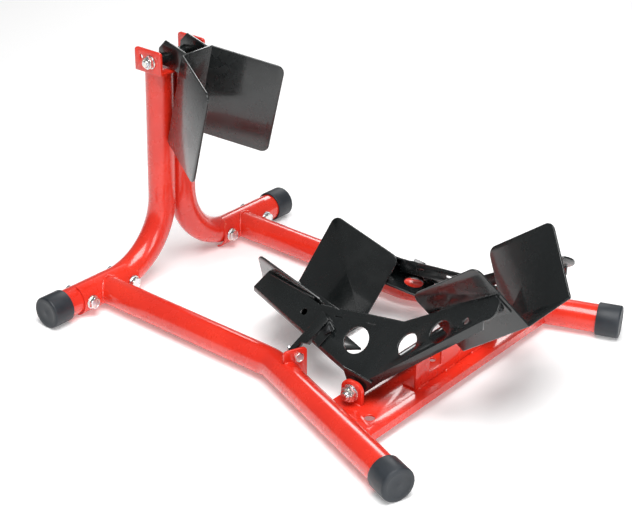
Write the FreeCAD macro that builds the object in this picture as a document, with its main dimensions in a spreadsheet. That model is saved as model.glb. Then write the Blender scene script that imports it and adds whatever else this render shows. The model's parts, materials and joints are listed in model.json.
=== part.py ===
import FreeCAD, Part
import math
import os

from FreeCAD import Placement, Rotation, Vector

os.makedirs("parts", exist_ok=True)
doc = FreeCAD.newDocument("paddock_stand")

# Paddock stand: a tubular front wheel chock with a hinged top holder and a rocking cradle.
# X is across the stand, Y points to the front (the upright end), Z is up, zero on the floor.
# "back" is a distance behind the axis of the front foot tubes.

DIMENSIONS = {
    # overall frame
    "front_axis_y": 323.43, "tube_dia": 42.0, "tube_wall": 2.0, "axis_height": 24.0,
    "foot_end_x": 255.0, "upright_x": 21.3, "upright_top": 335.0, "upright_lean": 1.5, "upright_bend": 108.0,
    "rail_x": 150.0, "rail_knee_back": 341.0, "rail_end_back": 640.0, "rail_end_x": 263.0, "rail_bend": 60.0,
    "cap_dia": 48.0, "cap_length": 34.0, "cap_wall": 5.0, "cap_round": 3.0,
    # saddles
    "saddle_length": 110.0, "saddle_thick": 3.0, "saddle_slack": 0.2, "saddle_bolt_gap": 83.0,
    "saddle_front": 5.0,
    # upright brackets and top axle
    "bracket_width": 53.0, "bracket_thick": 4.0, "bracket_top": 371.0, "bracket_back": 10.5,
    "top_axle_back": 17.0, "top_axle_height": 354.0, "top_axle_dia": 10.0, "spacer_dia": 17.0,
    "spare_hole_dia": 7.0, "spare_hole_ahead": 20.0, "spare_hole_rise": 4.0,
    # top holder
    "sheet_thick": 3.0, "holder_tilt": 14.0, "holder_top_back": 67.0, "holder_top_height": 371.0,
    "holder_strip_half": 29.0, "holder_wing_depth": 101.0, "holder_wing_out": 49.0, "holder_height": 147.0,
    "holder_round": 12.0, "ear_x": 20.0, "ear_thick": 4.0, "ear_root": 36.0,
    # cross member and its brackets
    "cross_front_back": 462.0, "cross_rear_back": 552.0, "cross_top": 25.0, "cross_drop": 13.0,
    "cross_thick": 3.0, "cross_hole_dia": 14.0, "cross_hole_x": 171.0, "cross_hole_back": 526.0,
    "centre_hole_dia": 10.0, "centre_hole_back": 501.0,
    "rest_half": 80.0, "rest_back": 532.0, "rest_height": 40.0, "rest_foot": 22.0,
    "rest_notch": 27.0, "rest_notch_x": 36.0, "rest_notch_base": 14.0,
    # rocker pivot
    "pivot_back": 485.0, "pivot_height": 40.0, "pivot_dia": 12.0, "pivot_tube_dia": 20.0,
    "bush_dia": 16.0, "bush_flange": 1.5, "bush_depth": 22.0,
    "tab_x": 152.0, "tab_thick": 6.0, "tab_width": 34.0, "tab_top": 56.0,
    "hinge_clearance": 0.05, "side_gap": 0.3,
    # cradle guides, given at the loaded position
    "front_guide_slope": 15.2, "front_guide_length": 124.0, "front_guide_depth": 103.0,
    "front_guide_out": 50.0, "front_guide_floor": 34.0, "front_guide_back": 377.0,
    "front_guide_height": 107.4,
    "rear_guide_slope": -37.2, "rear_guide_length": 119.0, "rear_guide_depth": 96.0,
    "rear_guide_out": 38.5, "rear_guide_floor": 48.0, "rear_guide_back": 619.0,
    "rear_guide_height": 242.5,
    # cradle side panels: lower edge nose, knee and tail, and upper edge heel
    "nose_x": 95.0, "nose_back": 257.0, "nose_height": 92.0,
    "knee_x": 148.0, "knee_back": 494.0, "knee_height": 54.0,
    "tail_x": 99.0, "tail_back": 642.0, "tail_height": 180.0,
    "heel_x": 84.0, "heel_back": 510.0, "heel_height": 123.0,
    "nose_inner_x": 74.0, "nose_inner_back": 270.0, "shoulder_x": 92.0, "shoulder_back": 376.0,
    "tail_inner_x": 72.0, "tail_inner_back": 636.0,
    "front_hole_dia": 38.0, "rear_hole_dia": 33.0, "small_hole_dia": 9.5,
    "flange_width": 20.0, "hem_width": 14.0, "lug_radius": 13.0, "rear_flange_share": 0.35,
    "shelf_drop": 4.0, "shelf_hole_dia": 28.0,
    "slot_length": 14.0, "slot_height": 4.0, "slot_drop": 10.0,
    "pad_width": 30.0, "stud_drop": 17.0,
    "front_guide_pad_start": 15.0, "front_guide_pad_length": 84.0,
    "front_guide_stud_start": 28.0, "front_guide_stud_gap": 52.0,
    "rear_guide_pad_start": 4.0, "rear_guide_pad_length": 93.0,
    "rear_guide_stud_start": 12.0, "rear_guide_stud_gap": 76.0,
    # stop arms and rail tabs
    "arm_thick": 8.0, "arm_foot_thick": 3.0, "arm_bolt_x": 113.3, "arm_bolt_back": 410.0,
    "rail_tab_width": 36.0, "rail_tab_thick": 4.0, "rail_tab_x": 150.5, "rail_tab_back": 381.5,
    "rail_tab_top": 62.0, "rail_tab_low": 14.0, "stop_bolt_x": 147.0, "stop_bolt_height": 51.0,
    "stop_bolt_reach": 26.0,
    # fasteners
    "saddle_bolt_dia": 10.0, "stud_dia": 6.0, "stop_bolt_dia": 8.0, "hole_clearance": 0.5,
    "washer_thick": 2.0, "nut_share": 0.85,
}

# outline corners of a stop arm's bar and foot, as (x, back) on the panel's front facet
ARM_CORNERS = ((98, 391), (144, 367), (145, 376.5), (132.5, 381), (131.5, 391.5), (104, 406))
ARM_FOOT_CORNERS = ((98, 391), (119, 380), (131, 407), (110, 418))
# centres of the panel's round holes and of the small hole at each end, as (x, back)
FRONT_HOLES = ((113, 456),)
REAR_HOLES = ((111, 537), (103, 581))
FRONT_SMALL_HOLE = (103, 357)
REAR_SMALL_HOLE = (96, 615)
# corners and hole of the shelf under the front facet, as (inward from the lower edge, back)
SHELF_CORNERS = ((0, 257), (0, 409), (52, 443), (52, 257))
SHELF_HOLE = (22, 391)
# outline corners of a holder ear, as (ahead, above) of the top axle
EAR_CORNERS = ((-8, 29), (5.5, 15), (7.5, -9), (-20, -11))
# upper corners of a pivot lug, as (ahead, above) of the pivot
LUG_CORNERS = ((24, 26), (-25, 20))
# shares of the flange's length where its slots lie
SLOT_SHARES = (0.28, 0.67)

sheet = doc.addObject("Spreadsheet::Sheet", "dims")
for row, (alias, number) in enumerate(DIMENSIONS.items(), start=1):
    sheet.set(f"A{row}", alias)
    sheet.set(f"B{row}", str(number))
    sheet.setAlias(f"B{row}", alias)
doc.recompute()

ALONG_X, ALONG_Y, ALONG_Z = Vector(1, 0, 0), Vector(0, 1, 0), Vector(0, 0, 1)
SIDES = {"left": -1, "right": 1}
nodes = []


def dim(alias):
    return float(sheet.get(alias))


def at(x, back, z):
    """A point of the stand, given by its distance behind the front foot axis."""
    return Vector(x, dim("front_axis_y") - back, z)


def mirrored(point, side):
    """The point given for the left side, taken to the given side."""
    return Vector(point.x if side < 0 else -point.x, point.y, point.z)


def node(shape_object, label):
    """Names a finished sub-part and lists it for export."""
    shape_object.Label = label
    nodes.append(shape_object)
    return shape_object


def bind(primitive, placement, **expressions):
    for name, expression in expressions.items():
        primitive.setExpression(name, expression)
    primitive.Placement = placement
    return primitive


def pointing(start, direction):
    return Placement(start, Rotation(ALONG_Z, direction))


def cylinder(radius, height, start, direction):
    """A cylinder with its radius and height as expressions on the sheet."""
    primitive = doc.addObject("Part::Cylinder", "Cylinder")
    return bind(primitive, pointing(start, direction), Radius=radius, Height=height)


def hexagon(across_corners, height, start, direction):
    primitive = doc.addObject("Part::Prism", "Hexagon")
    primitive.Polygon = 6
    return bind(primitive, pointing(start, direction), Circumradius=across_corners, Height=height)


def box(length, width, height, placement):
    primitive = doc.addObject("Part::Box", "Box")
    return bind(primitive, placement, Length=length, Width=width, Height=height)


def feature(shape, name="Shape"):
    made = doc.addObject("Part::Feature", name)
    made.Shape = shape
    return made


def fuse(*pieces):
    joined = doc.addObject("Part::MultiFuse", "Fuse")
    joined.Shapes = list(pieces)
    joined.Refine = True
    return joined


def cut(base, *tools):
    made = doc.addObject("Part::Cut", "Cut")
    made.Base = base
    made.Tool = tools[0] if len(tools) == 1 else fuse(*tools)
    return made


def group(pieces):
    """Separate solids kept together, such as a set of bolts."""
    made = doc.addObject("Part::Compound", "Group")
    made.Links = list(pieces)
    return made


def rounded(base, radius, chosen):
    """Fillets the edges of a primitive for which chosen(edge) is true."""
    doc.recompute()
    made = doc.addObject("Part::Fillet", "Round")
    made.Base = base
    made.Edges = [(number, radius, radius)
                  for number, edge in enumerate(base.Shape.Edges, start=1) if chosen(edge)]
    return made


def bent_path(start, corner, end, radius):
    """Two straight lengths joined by a tangent arc."""
    toward_start = (start - corner).normalize()
    toward_end = (end - corner).normalize()
    half_angle = toward_start.getAngle(toward_end) / 2
    setback = radius / math.tan(half_angle)
    arc_start = corner + toward_start * setback
    arc_end = corner + toward_end * setback
    centre_line = (toward_start + toward_end).normalize()
    middle = corner + centre_line * (radius / math.sin(half_angle) - radius)
    arc = Part.Arc(arc_start, middle, arc_end).toShape()
    return Part.Wire([Part.makeLine(start, arc_start), arc, Part.makeLine(arc_end, end)])


def sweep(path, radius):
    """A round bar of the given radius expression along the path."""
    first = path.Shape.Edges[0]
    start = first.valueAt(first.FirstParameter)
    profile = doc.addObject("Part::Circle", "Profile")
    bind(profile, pointing(start, first.tangentAt(first.FirstParameter)), Radius=radius)
    swept = doc.addObject("Part::Sweep", "Sweep")
    swept.Sections = [profile]
    swept.Spine = (path, [])
    swept.Solid = True
    return swept


def bolt_along(start, direction, dia, length, head, head_height="dims.{0} * 0.6"):
    """A hexagon bolt: the head starts at start and the shank runs on along direction."""
    height = head_height.format(dia)
    thick = dim(dia) * 0.6
    return fuse(
        hexagon(f"dims.{dia} * {head}", height, start - direction * thick, direction),
        cylinder(f"dims.{dia} / 2", length, start, direction))


def ring_along(start, direction, outer, inner, thick):
    """A washer, spacer or plain ring."""
    long_tool = f"({thick}) + 2"
    return cut(cylinder(outer, thick, start, direction),
               cylinder(inner, long_tool, start - direction, direction))


def nut_along(start, direction, dia):
    height = f"dims.{dia} * dims.nut_share"
    body = hexagon(f"dims.{dia} * 0.98", height, start, direction)
    return cut(body, cylinder(f"dims.{dia} / 2", f"{height} + 2", start - direction, direction))


# ---------------------------------------------------------------- front foot and upright tubes

def lean(point):
    """Turns a point of an upright rearward about the foot axis."""
    placement = Placement(Vector(), Rotation(ALONG_X, dim("upright_lean")),
                          at(0, 0, dim("axis_height")))
    return placement.multVec(point)


def upright_path(side):
    height = dim("axis_height")
    end = at(side * dim("foot_end_x"), 0, height)
    corner = at(side * dim("upright_x"), 0, height)
    top = lean(at(side * dim("upright_x"), 0, dim("upright_top")))
    return feature(bent_path(end, corner, top, dim("upright_bend")), "UprightPath")


def saddle_bolt_points(side):
    """Where the saddle bolts cross the foot axis."""
    half = dim("saddle_bolt_gap") / 2
    return [at(side * dim("rail_x") + shift, 0, dim("axis_height")) for shift in (-half, half)]


def saddle_bolt_holes(side):
    reach = dim("tube_dia")
    return [cylinder("dims.saddle_bolt_dia / 2 + dims.hole_clearance / 2", "dims.tube_dia * 2",
                     point - ALONG_Y * reach, ALONG_Y) for point in saddle_bolt_points(side)]


def upright_tube(name, side):
    path = upright_path(side)
    hollow = cut(sweep(path, "dims.tube_dia / 2"),
                 sweep(path, "dims.tube_dia / 2 - dims.tube_wall"), *saddle_bolt_holes(side))
    return node(hollow, f"{name}_upright_tube")


# ---------------------------------------------------------------- side rails and saddles

def rail_path(side):
    height = dim("axis_height")
    start = at(side * dim("rail_x"), 0, height)
    knee = at(side * dim("rail_x"), dim("rail_knee_back"), height)
    end = at(side * dim("rail_end_x"), dim("rail_end_back"), height)
    return feature(bent_path(start, knee, end, dim("rail_bend")), "RailPath")


def rail_direction(side):
    """Unit direction of the splayed rear length of a rail, pointing rearward."""
    run = dim("rail_end_back") - dim("rail_knee_back")
    return Vector(side * (dim("rail_end_x") - dim("rail_x")), -run, 0).normalize()


def saddle_cylinder(radius, side):
    start = at(side * dim("rail_x") - dim("saddle_length") / 2, 0, dim("axis_height"))
    return cylinder(radius, "dims.saddle_length", start, ALONG_X)


def side_rail(name, side):
    path = rail_path(side)
    hollow = cut(sweep(path, "dims.tube_dia / 2"),
                 sweep(path, "dims.tube_dia / 2 - dims.tube_wall"),
                 saddle_cylinder("dims.tube_dia / 2 + dims.saddle_thick", side))
    return node(hollow, f"{name}_side_rail")


def saddle_plate(name, side):
    """A half shell that wraps the rear of the foot tube and carries the rail."""
    outer = saddle_cylinder("dims.tube_dia / 2 + dims.saddle_thick", side)
    inner = saddle_cylinder("dims.tube_dia / 2 + dims.saddle_slack", side)
    corner = at(side * dim("rail_x") - dim("saddle_length") / 2 - 1, -dim("saddle_front") + 10, 0)
    front = box("dims.saddle_length + 2", "dims.tube_dia", "dims.tube_dia * 2",
                Placement(corner, Rotation()))
    tube = sweep(upright_path(side), "dims.tube_dia / 2")
    return node(cut(outer, inner, front, tube, *saddle_bolt_holes(side)), f"{name}_saddle_plate")


def saddle_fasteners():
    """Bolts from the rear, with a washer under each head and a nut in front."""
    reach = dim("tube_dia") / 2 + dim("saddle_thick")
    washer = dim("washer_thick")
    bolts, washers, nuts = [], [], []
    for side in SIDES.values():
        for point in saddle_bolt_points(side):
            rear = point - ALONG_Y * reach
            front = point + ALONG_Y * dim("tube_dia") / 2
            bolts.append(bolt_along(rear - ALONG_Y * washer, ALONG_Y, "saddle_bolt_dia",
                                    "dims.tube_dia + dims.saddle_thick + 13", 0.95))
            washers.append(ring_along(rear - ALONG_Y * washer, ALONG_Y, "dims.saddle_bolt_dia * 1.05",
                                      "dims.saddle_bolt_dia / 2", "dims.washer_thick"))
            nuts.append(nut_along(front, ALONG_Y, "saddle_bolt_dia"))
    node(group(bolts), "saddle_bolts")
    node(group(washers), "saddle_washers")
    node(group(nuts), "saddle_nuts")


# ---------------------------------------------------------------- rubber caps

def foot_cap(label, tube_end, outward):
    """A moulded cap pushed over a tube end."""
    face = tube_end + outward * dim("cap_wall")
    body = cylinder("dims.cap_dia / 2", "dims.cap_length", face - outward * dim("cap_length"), outward)
    round_end = rounded(body, dim("cap_round"),
                        lambda edge: edge.Length > 50 and
                        all((vertex.Point - face).dot(outward) > -0.1 for vertex in edge.Vertexes))
    bore = cylinder("dims.tube_dia / 2", "dims.cap_length", tube_end - outward * dim("cap_length"), outward)
    return node(cut(round_end, bore), label)


def foot_caps():
    for name, side in SIDES.items():
        height = dim("axis_height")
        foot_cap(f"front_{name}_cap", at(side * dim("foot_end_x"), 0, height), ALONG_X * side)
        foot_cap(f"rear_{name}_cap", at(side * dim("rail_end_x"), dim("rail_end_back"), height),
                 rail_direction(side))


# ---------------------------------------------------------------- upright brackets and top axle

def top_axle_start(x):
    return at(x, dim("top_axle_back"), dim("top_axle_height"))


def upright_bracket(name, side):
    """An angle welded on the tube top: its tab holds the top axle."""
    outer = dim("upright_x") + dim("tube_dia") / 2 + dim("bracket_thick")
    tube_top = dim("upright_top") + 1
    rear_edge = dim("bracket_back") + dim("bracket_width") / 2
    tab_x = -outer if side < 0 else outer - dim("bracket_thick")
    plate_x = -outer if side < 0 else dim("upright_x") - dim("tube_dia") / 2
    tab = box("dims.bracket_thick", "dims.bracket_width", "dims.bracket_top - dims.upright_top - 1",
              Placement(at(tab_x, rear_edge, tube_top), Rotation()))
    rounded_tab = rounded(tab, 5, lambda edge: edge.BoundBox.ZMin > dim("bracket_top") - 0.1
                          and edge.BoundBox.XLength > 1 and edge.BoundBox.YLength < 0.1)
    plate = box("dims.tube_dia + dims.bracket_thick", "dims.bracket_width", "dims.bracket_thick",
                Placement(at(plate_x, rear_edge, tube_top), Rotation()))
    hole = cylinder("dims.top_axle_dia / 2 + dims.hole_clearance / 2", "200", top_axle_start(-100), ALONG_X)
    spare_start = top_axle_start(-100) + Vector(0, dim("spare_hole_ahead"), dim("spare_hole_rise"))
    spare = cylinder("dims.spare_hole_dia / 2", "200", spare_start, ALONG_X)
    return node(cut(fuse(rounded_tab, plate), hole, spare), f"{name}_upright_bracket")


def top_axle_parts():
    """The bolt that the holder swings on, its nut, washers and two spacers."""
    face = dim("upright_x") + dim("tube_dia") / 2 + dim("bracket_thick")
    ear_face = dim("ear_x") + dim("ear_thick") + dim("side_gap")
    washer = dim("washer_thick")
    node(bolt_along(top_axle_start(face + washer), -ALONG_X, "top_axle_dia",
                    f"{2 * face + 2 * washer + 12}", 0.95), "top_axle_bolt")
    node(nut_along(top_axle_start(-face - washer), -ALONG_X, "top_axle_dia"), "top_axle_nut")
    washers, spacers = [], []
    for side in SIDES.values():
        outward = ALONG_X * side
        washers.append(ring_along(top_axle_start(side * face), outward, "dims.top_axle_dia",
                                  "dims.top_axle_dia / 2", "dims.washer_thick"))
        length = face - dim("bracket_thick") - ear_face
        spacers.append(ring_along(top_axle_start(side * ear_face), outward, "dims.spacer_dia / 2",
                                  "dims.top_axle_dia / 2", f"{length}"))
    node(group(washers), "top_axle_washers")
    node(spacers[0], "left_axle_spacer")
    node(spacers[1], "right_axle_spacer")


# ---------------------------------------------------------------- folded sheet pieces

def channel(strip_half, wing_depth, wing_out, length):
    """A sheet folded to a tray: a flat strip and two wings that open outward.

    The strip's working face lies on Z = 0, its length runs along +Y from 0 and the wings rise in +Z.
    """
    thick = dim("sheet_thick")
    slant = math.hypot(wing_depth, wing_out)
    opening = math.degrees(math.atan2(wing_out, wing_depth))
    strip = box(f"{2 * strip_half}", f"{length}", "dims.sheet_thick",
                Placement(Vector(-strip_half, 0, -thick), Rotation()))
    pieces = [strip]
    for side in (-1, 1):
        turn = Rotation(ALONG_Y, side * opening)
        hinge = Vector(side * strip_half, 0, 0)
        inner = Vector(0 if side > 0 else -thick, 0, 0)
        wing = box("dims.sheet_thick", f"{length}", f"{slant}",
                   Placement(hinge + turn.multVec(inner), turn))
        wing_round = dim("holder_round")
        far = turn.multVec(Vector(0, 0, slant)).z
        pieces.append(rounded(wing, wing_round, lambda edge, far=far: edge.Length < thick + 0.01
                              and edge.CenterOfMass.z > far - thick))
        bend = doc.addObject("Part::Cylinder", "Bend")
        spin = Rotation(ALONG_X, -90)
        axis_turn = Rotation(ALONG_Z, opening if side > 0 else 90)
        bind(bend, Placement(hinge, spin * axis_turn), Radius="dims.sheet_thick",
             Height=f"{length}", Angle=f"{90 - opening}")
        pieces.append(bend)
    return pieces


def prism(points, along):
    """A plate with a flat outline, thickened along a vector."""
    return feature(Part.Face(Part.makePolygon(points + points[:1])).extrude(along), "Plate")


# ---------------------------------------------------------------- top holder

def holder_placement():
    """Local +Z is the way the wings point and local +Y runs up the strip."""
    turn = Rotation(ALONG_X, 90 + dim("holder_tilt"))
    top = at(0, dim("holder_top_back"), dim("holder_top_height"))
    return Placement(top - turn.multVec(ALONG_Y) * dim("holder_height"), turn)


def holder_plate():
    made = fuse(*channel(dim("holder_strip_half"), dim("holder_wing_depth"),
                         dim("holder_wing_out"), dim("holder_height")))
    made.Placement = holder_placement()
    return node(made, "holder_plate")


def holder_ear(name, side):
    """The lug that carries the holder on the top axle."""
    place = holder_placement()
    thick = dim("sheet_thick")
    length = dim("holder_height")
    x = side * dim("ear_x")
    strip_top = place.multVec(Vector(0, length, -thick))
    strip_low = place.multVec(Vector(0, length - dim("ear_root"), -thick))
    axle = top_axle_start(x)
    outline = [Vector(x, strip_top.y, strip_top.z)]
    outline += [axle + Vector(0, ahead, above) for ahead, above in EAR_CORNERS]
    outline.append(Vector(x, strip_low.y, strip_low.z))
    ear = prism(outline, ALONG_X * side * dim("ear_thick"))
    bore = cylinder("dims.top_axle_dia / 2 + dims.hinge_clearance", "20", axle - ALONG_X * 10, ALONG_X)
    return node(cut(ear, bore), f"{name}_holder_ear")


def holder_sleeve():
    """The tube between the ears that runs on the top axle."""
    return node(ring_along(top_axle_start(-dim("ear_x")), ALONG_X, "dims.spacer_dia / 2",
                           "dims.top_axle_dia / 2 + dims.hinge_clearance", "dims.ear_x * 2"), "holder_sleeve")


# ---------------------------------------------------------------- cradle guides

def guide_placement(prefix):
    """Local X across, local Y forward along the leg from its rear end, local Z out of the floor."""
    turn = Rotation(ALONG_X, dim(f"{prefix}_slope"))
    top_rear = at(0, dim(f"{prefix}_back"), dim(f"{prefix}_height"))
    return Placement(top_rear - turn.multVec(ALONG_Z) * dim(f"{prefix}_depth"), turn)


def wing_opening(prefix):
    return math.degrees(math.atan2(dim(f"{prefix}_out"), dim(f"{prefix}_depth")))


def wing_frame(prefix, side):
    """Local X out of the wing's outer face, local Y along the leg, local Z up the wing."""
    turn = Rotation(ALONG_Y, side * wing_opening(prefix))
    hinge = Vector(side * dim(f"{prefix}_floor"), 0, 0)
    outer = turn.multVec(Vector(side * dim("sheet_thick"), 0, 0))
    return guide_placement(prefix) * Placement(hinge + outer, turn)


def fold_height(prefix, along):
    """How far up a wing the side panel meets it, at a distance along the guide."""
    frame = wing_frame(prefix, -1)
    facet = front_facet() if prefix == "front_guide" else rear_facet()
    normal = facet_normal(facet)
    low = frame.multVec(ALONG_Y * along)
    return (facet[0] - low).dot(normal) / frame.Rotation.multVec(ALONG_Z).dot(normal)


def stud_places(prefix, side):
    """Points on the wing's outer face where studs are welded, with the outward direction."""
    frame = wing_frame(prefix, side)
    start = dim(f"{prefix}_stud_start")
    outward = frame.Rotation.multVec(ALONG_X * side)
    places = []
    for along in (start, start + dim(f"{prefix}_stud_gap")):
        height = fold_height(prefix, along) - dim("stud_drop")
        places.append((frame.multVec(Vector(0, along, height)), outward))
    return places


def stud_holes(prefix, side):
    return [cylinder("dims.stud_dia / 2 + dims.hole_clearance / 2", "12", point - outward * 2, outward)
            for point, outward in stud_places(prefix, side)]


def wheel_guide(prefix):
    made = fuse(*channel(dim(f"{prefix}_floor"), dim(f"{prefix}_depth"), dim(f"{prefix}_out"),
                         dim(f"{prefix}_length")))
    made.Placement = guide_placement(prefix)
    return node(made, prefix)


def guide_fasteners(prefix):
    """Studs welded to the outside of the wings, with nuts on the side panels' pads."""
    thick = dim("sheet_thick")
    studs, nuts = [], []
    for side in SIDES.values():
        for point, outward in stud_places(prefix, side):
            studs.append(cylinder("dims.stud_dia / 2", "dims.sheet_thick + 8", point, outward))
            nuts.append(nut_along(point + outward * thick, outward, "stud_dia"))
    node(group(studs), f"{prefix}_studs")
    node(group(nuts), f"{prefix}_nuts")


# ---------------------------------------------------------------- cradle side panels

def on_facet(facet, x, back):
    """The point of a facet plane over the given place."""
    a, b, c = facet
    normal = (b - a).cross(c - a)
    flat = at(x, back, 0)
    height = a.z - (normal.x * (flat.x - a.x) + normal.y * (flat.y - a.y)) / normal.z
    return Vector(flat.x, flat.y, height)


def corner(word):
    """A named corner of the left panel's outer surface."""
    return at(-dim(f"{word}_x"), dim(f"{word}_back"), dim(f"{word}_height"))


def front_facet():
    return corner("nose"), corner("knee"), corner("heel")


def rear_facet():
    return corner("knee"), corner("tail"), corner("heel")


def facet_normal(facet):
    a, b, c = facet
    normal = (b - a).cross(c - a).normalize()
    return normal if normal.z > 0 else normal * -1


def place_on(facet, word, side):
    point = on_facet(facet, -dim(f"{word}_x"), dim(f"{word}_back"))
    return mirrored(point, side)


def side_panel(name, side):
    """One folded side of the cradle: two sloping facets, edge flanges, guide pads and a pivot lug."""
    thick = dim("sheet_thick")
    nose, knee, tail, heel = (mirrored(corner(word), side) for word in ("nose", "knee", "tail", "heel"))
    nose_inner = place_on(front_facet(), "nose_inner", side)
    shoulder = place_on(front_facet(), "shoulder", side)
    tail_inner = place_on(rear_facet(), "tail_inner", side)
    inward = ALONG_X * -side
    under = (facet_normal(front_facet()) + facet_normal(rear_facet())).normalize() * -thick
    under = mirrored(under, side)
    pieces = [prism([nose, knee, heel, shoulder, nose_inner], under),
              prism([knee, tail, tail_inner, heel], under), tail_round(tail, tail_inner, side)]
    drop = Vector(0, 0, -dim("flange_width"))
    hem = Vector(0, 0, -dim("hem_width"))
    front_hem = Vector(0, 0, -dim("shelf_drop") - thick)
    flange_end = heel + (tail_inner - heel) * dim("rear_flange_share")
    for first, second, depth in ((shoulder, heel, drop), (heel, flange_end, drop),
                                 (nose, knee, front_hem), (knee, tail, hem)):
        pieces.append(prism([first, second, second + depth, first + depth], inward * thick))
    pieces.append(prism([shelf_point(inset, back, side) for inset, back in SHELF_CORNERS], ALONG_Z * -thick))
    pads = [guide_pad(prefix, side) for prefix in ("front_guide", "rear_guide")]
    holes = [pivot_hole(side), arm_bolt_hole(side), shelf_hole(side)] + panel_holes(side)
    holes += stud_holes("front_guide", side) + stud_holes("rear_guide", side) + flange_slots(side)
    envelopes = [guide_envelope(prefix) for prefix in ("front_guide", "rear_guide")]
    panel = cut(fuse(*pieces, *pads, pivot_lug(side, knee)), *envelopes, *holes)
    return node(panel, f"{name}_side_panel")


def shelf_point(inset, back, side):
    """A point of the shelf that is folded inward below the lower edge of the front facet."""
    nose, knee = corner("nose"), corner("knee")
    share = (back - dim("nose_back")) / (dim("knee_back") - dim("nose_back"))
    edge = nose + (knee - nose) * share
    return mirrored(edge + Vector(inset, 0, -dim("shelf_drop")), side)


def shelf_hole(side):
    """The upright cutter of the round hole in a panel's shelf."""
    above = shelf_point(*SHELF_HOLE, side) + ALONG_Z * dim("shelf_drop")
    return cylinder("dims.shelf_hole_dia / 2", "2 * dims.shelf_drop + dims.sheet_thick", above, ALONG_Z * -1)


def tail_round(tail, tail_inner, side):
    """The disc that rounds off the rear end of a panel."""
    down = mirrored(facet_normal(rear_facet()), side) * -1
    return cylinder(f"{(tail - tail_inner).Length / 2}", "dims.sheet_thick", (tail + tail_inner) / 2, down)


def guide_pad(prefix, side):
    """The flange of a side panel, folded down along a guide's wing."""
    frame = wing_frame(prefix, side)
    start = dim(f"{prefix}_pad_start")
    end = start + dim(f"{prefix}_pad_length")
    down = ALONG_Z * dim("pad_width")
    top = [Vector(0, along, fold_height(prefix, along)) for along in (start, end)]
    outline = [frame.multVec(corner) for corner in (top[0], top[1], top[1] - down, top[0] - down)]
    return prism(outline, frame.Rotation.multVec(ALONG_X * side) * dim("sheet_thick"))


def guide_envelope(prefix):
    """All the space inside a guide's outer faces, used to trim the panels."""
    reach = 1.4
    floor = dim(f"{prefix}_floor")
    thick = dim("sheet_thick")
    angle = math.radians(wing_opening(prefix))
    out = thick / math.cos(angle)
    rise = dim(f"{prefix}_depth") * reach
    spread = dim(f"{prefix}_out") * reach
    outline = [Vector(floor + out, 0, 0), Vector(floor + out + spread, 0, rise),
               Vector(-floor - out - spread, 0, rise), Vector(-floor - out, 0, 0),
               Vector(-floor, 0, -thick), Vector(floor, 0, -thick)]
    slack = 30
    shape = Part.Face(Part.makePolygon(outline + outline[:1]))
    shape = shape.extrude(ALONG_Y * (dim(f"{prefix}_length") + 2 * slack))
    made = feature(shape, "Envelope")
    made.Placement = guide_placement(prefix) * Placement(Vector(0, -slack, 0), Rotation())
    return made


def facet_hole(facet, x, back, radius, side):
    normal = mirrored(facet_normal(facet), side)
    centre = mirrored(on_facet(facet, -x, back), side)
    return cylinder(radius, "16", centre - normal * 8, normal)


def panel_holes(side):
    """The round lightening holes of a panel and a small hole at each of its ends."""
    front, rear = front_facet(), rear_facet()
    holes = [facet_hole(front, x, back, "dims.front_hole_dia / 2", side) for x, back in FRONT_HOLES]
    holes += [facet_hole(rear, x, back, "dims.rear_hole_dia / 2", side) for x, back in REAR_HOLES]
    for facet, place in ((front, FRONT_SMALL_HOLE), (rear, REAR_SMALL_HOLE)):
        holes.append(facet_hole(facet, *place, "dims.small_hole_dia / 2", side))
    return holes


def flange_slots(side):
    """Two slots through the flange between the guides."""
    first, second = place_on(front_facet(), "shoulder", side), mirrored(corner("heel"), side)
    turn = Rotation(ALONG_Y, first - second)
    reach = 8
    offset = turn.multVec(Vector(-reach, -dim("slot_length") / 2, -dim("slot_height") / 2))
    slots = []
    for share in SLOT_SHARES:
        centre = first + (second - first) * share - ALONG_Z * dim("slot_drop")
        slots.append(box(f"{2 * reach}", "dims.slot_length", "dims.slot_height",
                         Placement(centre + offset, turn)))
    return slots


# ---------------------------------------------------------------- cradle pivot

def pivot_point(x):
    return at(x, dim("pivot_back"), dim("pivot_height"))


def pivot_hole(side):
    return cylinder("dims.pivot_tube_dia / 2", "40", pivot_point(side * 150) - ALONG_X * 20, ALONG_X)


def pivot_lug(side, knee):
    """The plate that joins a panel's knee to the pivot tube."""
    thick = dim("sheet_thick")
    radius = dim("lug_radius")
    axis = pivot_point(knee.x)
    ring = cylinder("dims.lug_radius", "dims.sheet_thick",
                    axis if side < 0 else axis - ALONG_X * thick, ALONG_X)
    outline = [axis + Vector(0, ahead, above) for ahead, above in ((radius, 0), *LUG_CORNERS, (-radius, 0))]
    web = prism(outline, ALONG_X * -side * thick)
    return fuse(ring, web)


def pivot_tube_half():
    return dim("tab_x") - dim("side_gap") - dim("bush_flange")


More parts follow.
